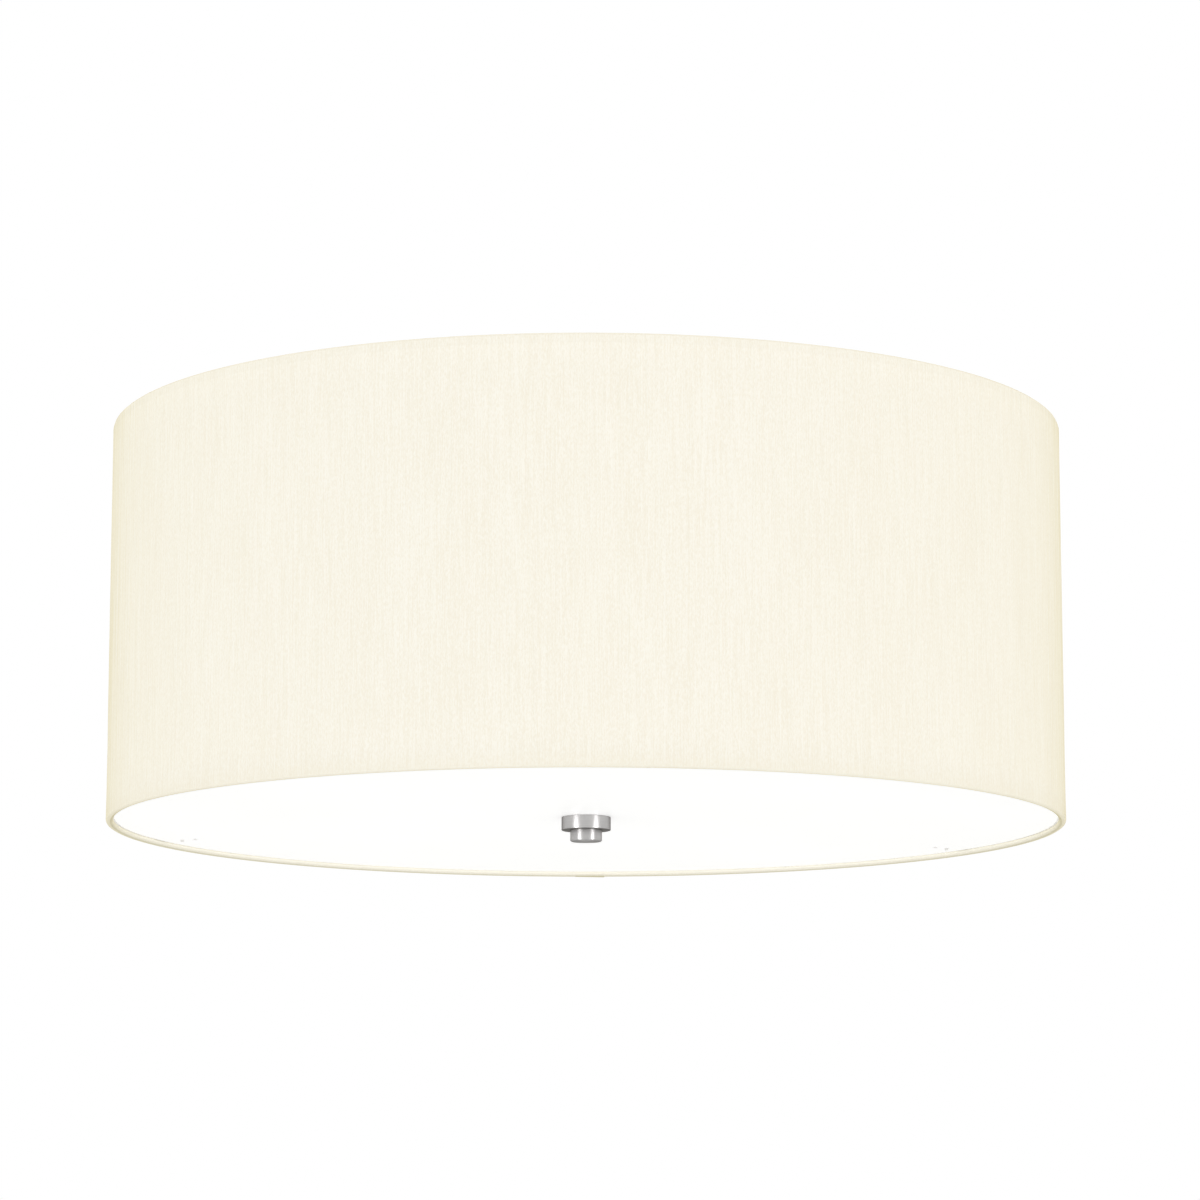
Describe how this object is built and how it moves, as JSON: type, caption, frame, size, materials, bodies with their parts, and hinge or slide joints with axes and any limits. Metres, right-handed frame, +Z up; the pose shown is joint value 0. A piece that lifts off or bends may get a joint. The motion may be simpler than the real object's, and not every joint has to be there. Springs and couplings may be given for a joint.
{
  "type": "flush mount ceiling light",
  "caption": "Flush ceiling light with a slub fabric drum shade, an opal disc diffuser held by a turned finial, and screw-in lamps on a folded bracket.",
  "frame": {"origin": "middle of the mounting strap's upper face, in the plane of the ceiling", "axes": "+Z up into the ceiling along the threaded tube, +X along the mounting strap, the fabric's seam near +Y"},
  "size_m": [0.6, 0.6002, 0.2706],
  "materials": {
    "cream_slub": "matt slub weave",
    "white_laminate": "matt",
    "white_wire": "powder coat",
    "opal_acrylic": "satin opal",
    "brushed_nickel": "brushed",
    "nickel_screws": "plated",
    "zinc_steel": "zinc plated",
    "white_enamel": "gloss enamel",
    "pin_steel": "plain",
    "clear_silicone": "satin",
    "black_rubber": "matt",
    "terminal_nylon": "translucent",
    "brass": "plain",
    "holder_white": "satin",
    "lamp_cap_nickel": "plated",
    "solder": "dull",
    "lamp_white_body": "satin",
    "led_board_aluminium": "coated",
    "lamp_opal": "opal",
    "live_insulation": "satin",
    "neutral_insulation": "satin",
    "earth_insulation": "satin"
  },
  "bodies": {
    "root": {"ceiling_strap": "zinc_steel", "earth_screw": "zinc_steel", "earth_lug": "zinc_steel", "earth_lead": "earth_insulation", "ceiling_cup": "white_enamel", "cup_side_screws": "nickel_screws", "cup_grommets": "black_rubber", "terminal_block": "terminal_nylon", "terminal_inserts": "brass", "terminal_screws": "zinc_steel", "terminal_fixing": "zinc_steel", "threaded_tube": "zinc_steel", "tube_nuts": "zinc_steel", "tube_washers": "zinc_steel", "upper_sleeve": "white_enamel", "lower_sleeve": "white_enamel", "lamp_bracket": "white_enamel", "holder_nipples": "zinc_steel", "holder_nuts": "zinc_steel", "live_leads": "live_insulation", "neutral_leads": "neutral_insulation", "shade_top_ring": "white_wire", "shade_bottom_ring": "white_wire", "spider_spokes": "white_wire", "spider_hub": "white_wire", "shade_lining": "white_laminate", "shade_cover": "cream_slub", "stop_tabs": "white_wire", "stop_pins": "pin_steel", "diffuser_washer": "clear_silicone", "holder_1_body": "holder_white", "holder_1_thread_shell": "brass", "holder_1_contact": "brass", "holder_2_body": "holder_white", "holder_2_thread_shell": "brass", "holder_2_contact": "brass", "holder_3_body": "holder_white", "holder_3_thread_shell": "brass", "holder_3_contact": "brass"},
    "diffuser": {"diffuser": "opal_acrylic"},
    "finial_cap": {"finial_cap": "brushed_nickel"},
    "finial_knob": {"finial_knob": "brushed_nickel"},
    "lamp_1_carriage": {"lamp_1_tip": "solder"},
    "lamp_1": {"lamp_1_cap": "lamp_cap_nickel", "lamp_1_collar": "lamp_white_body", "lamp_1_led_board": "led_board_aluminium", "lamp_1_globe": "lamp_opal"},
    "lamp_2_carriage": {"lamp_2_tip": "solder"},
    "lamp_2": {"lamp_2_cap": "lamp_cap_nickel", "lamp_2_collar": "lamp_white_body", "lamp_2_led_board": "led_board_aluminium", "lamp_2_globe": "lamp_opal"},
    "lamp_3_carriage": {"lamp_3_tip": "solder"},
    "lamp_3": {"lamp_3_cap": "lamp_cap_nickel", "lamp_3_collar": "lamp_white_body", "lamp_3_led_board": "led_board_aluminium", "lamp_3_globe": "lamp_opal"}
  },
  "joints": [
    {"name": "diffuser_lower", "type": "slide", "parent": "root", "child": "diffuser", "axis": [0, 0, -1], "range_m": [0, 0.12]},
    {"name": "finial_travel", "type": "slide", "parent": "diffuser", "child": "finial_cap", "axis": [0, 0, -1], "range_m": [0, 0.006]},
    {"name": "finial_turn", "type": "hinge", "parent": "finial_cap", "child": "finial_knob", "pos_m": [0, 0, -0.267], "axis": [0, 0, -1], "range_deg": [0, 2161]},
    {"name": "lamp_1_travel", "type": "slide", "parent": "root", "child": "lamp_1_carriage", "axis": [0, 1, 0], "range_m": [0, 0.02904]},
    {"name": "lamp_1_turn", "type": "hinge", "parent": "lamp_1_carriage", "child": "lamp_1", "pos_m": [0, 0.0625, -0.118], "axis": [0, 1, 0], "range_deg": [0, 2880]},
    {"name": "lamp_2_travel", "type": "slide", "parent": "root", "child": "lamp_2_carriage", "axis": [-0.866, -0.5, 0], "range_m": [0, 0.02904]},
    {"name": "lamp_2_turn", "type": "hinge", "parent": "lamp_2_carriage", "child": "lamp_2", "pos_m": [-0.05413, -0.03125, -0.118], "axis": [-0.866, -0.5, 0], "range_deg": [0, 2880]},
    {"name": "lamp_3_travel", "type": "slide", "parent": "root", "child": "lamp_3_carriage", "axis": [0.866, -0.5, 0], "range_m": [0, 0.02904]},
    {"name": "lamp_3_turn", "type": "hinge", "parent": "lamp_3_carriage", "child": "lamp_3", "pos_m": [0.05413, -0.03125, -0.118], "axis": [0.866, -0.5, 0], "range_deg": [0, 2880]}
  ],
  "couplings": [
    {"joint": "finial_turn", "follows": "finial_travel", "rad_per_m": 6283.2},
    {"joint": "lamp_1_travel", "follows": "lamp_1_turn", "m_per_rad": 0.00057773},
    {"joint": "lamp_2_travel", "follows": "lamp_2_turn", "m_per_rad": 0.00057773},
    {"joint": "lamp_3_travel", "follows": "lamp_3_turn", "m_per_rad": 0.00057773}
  ]
}
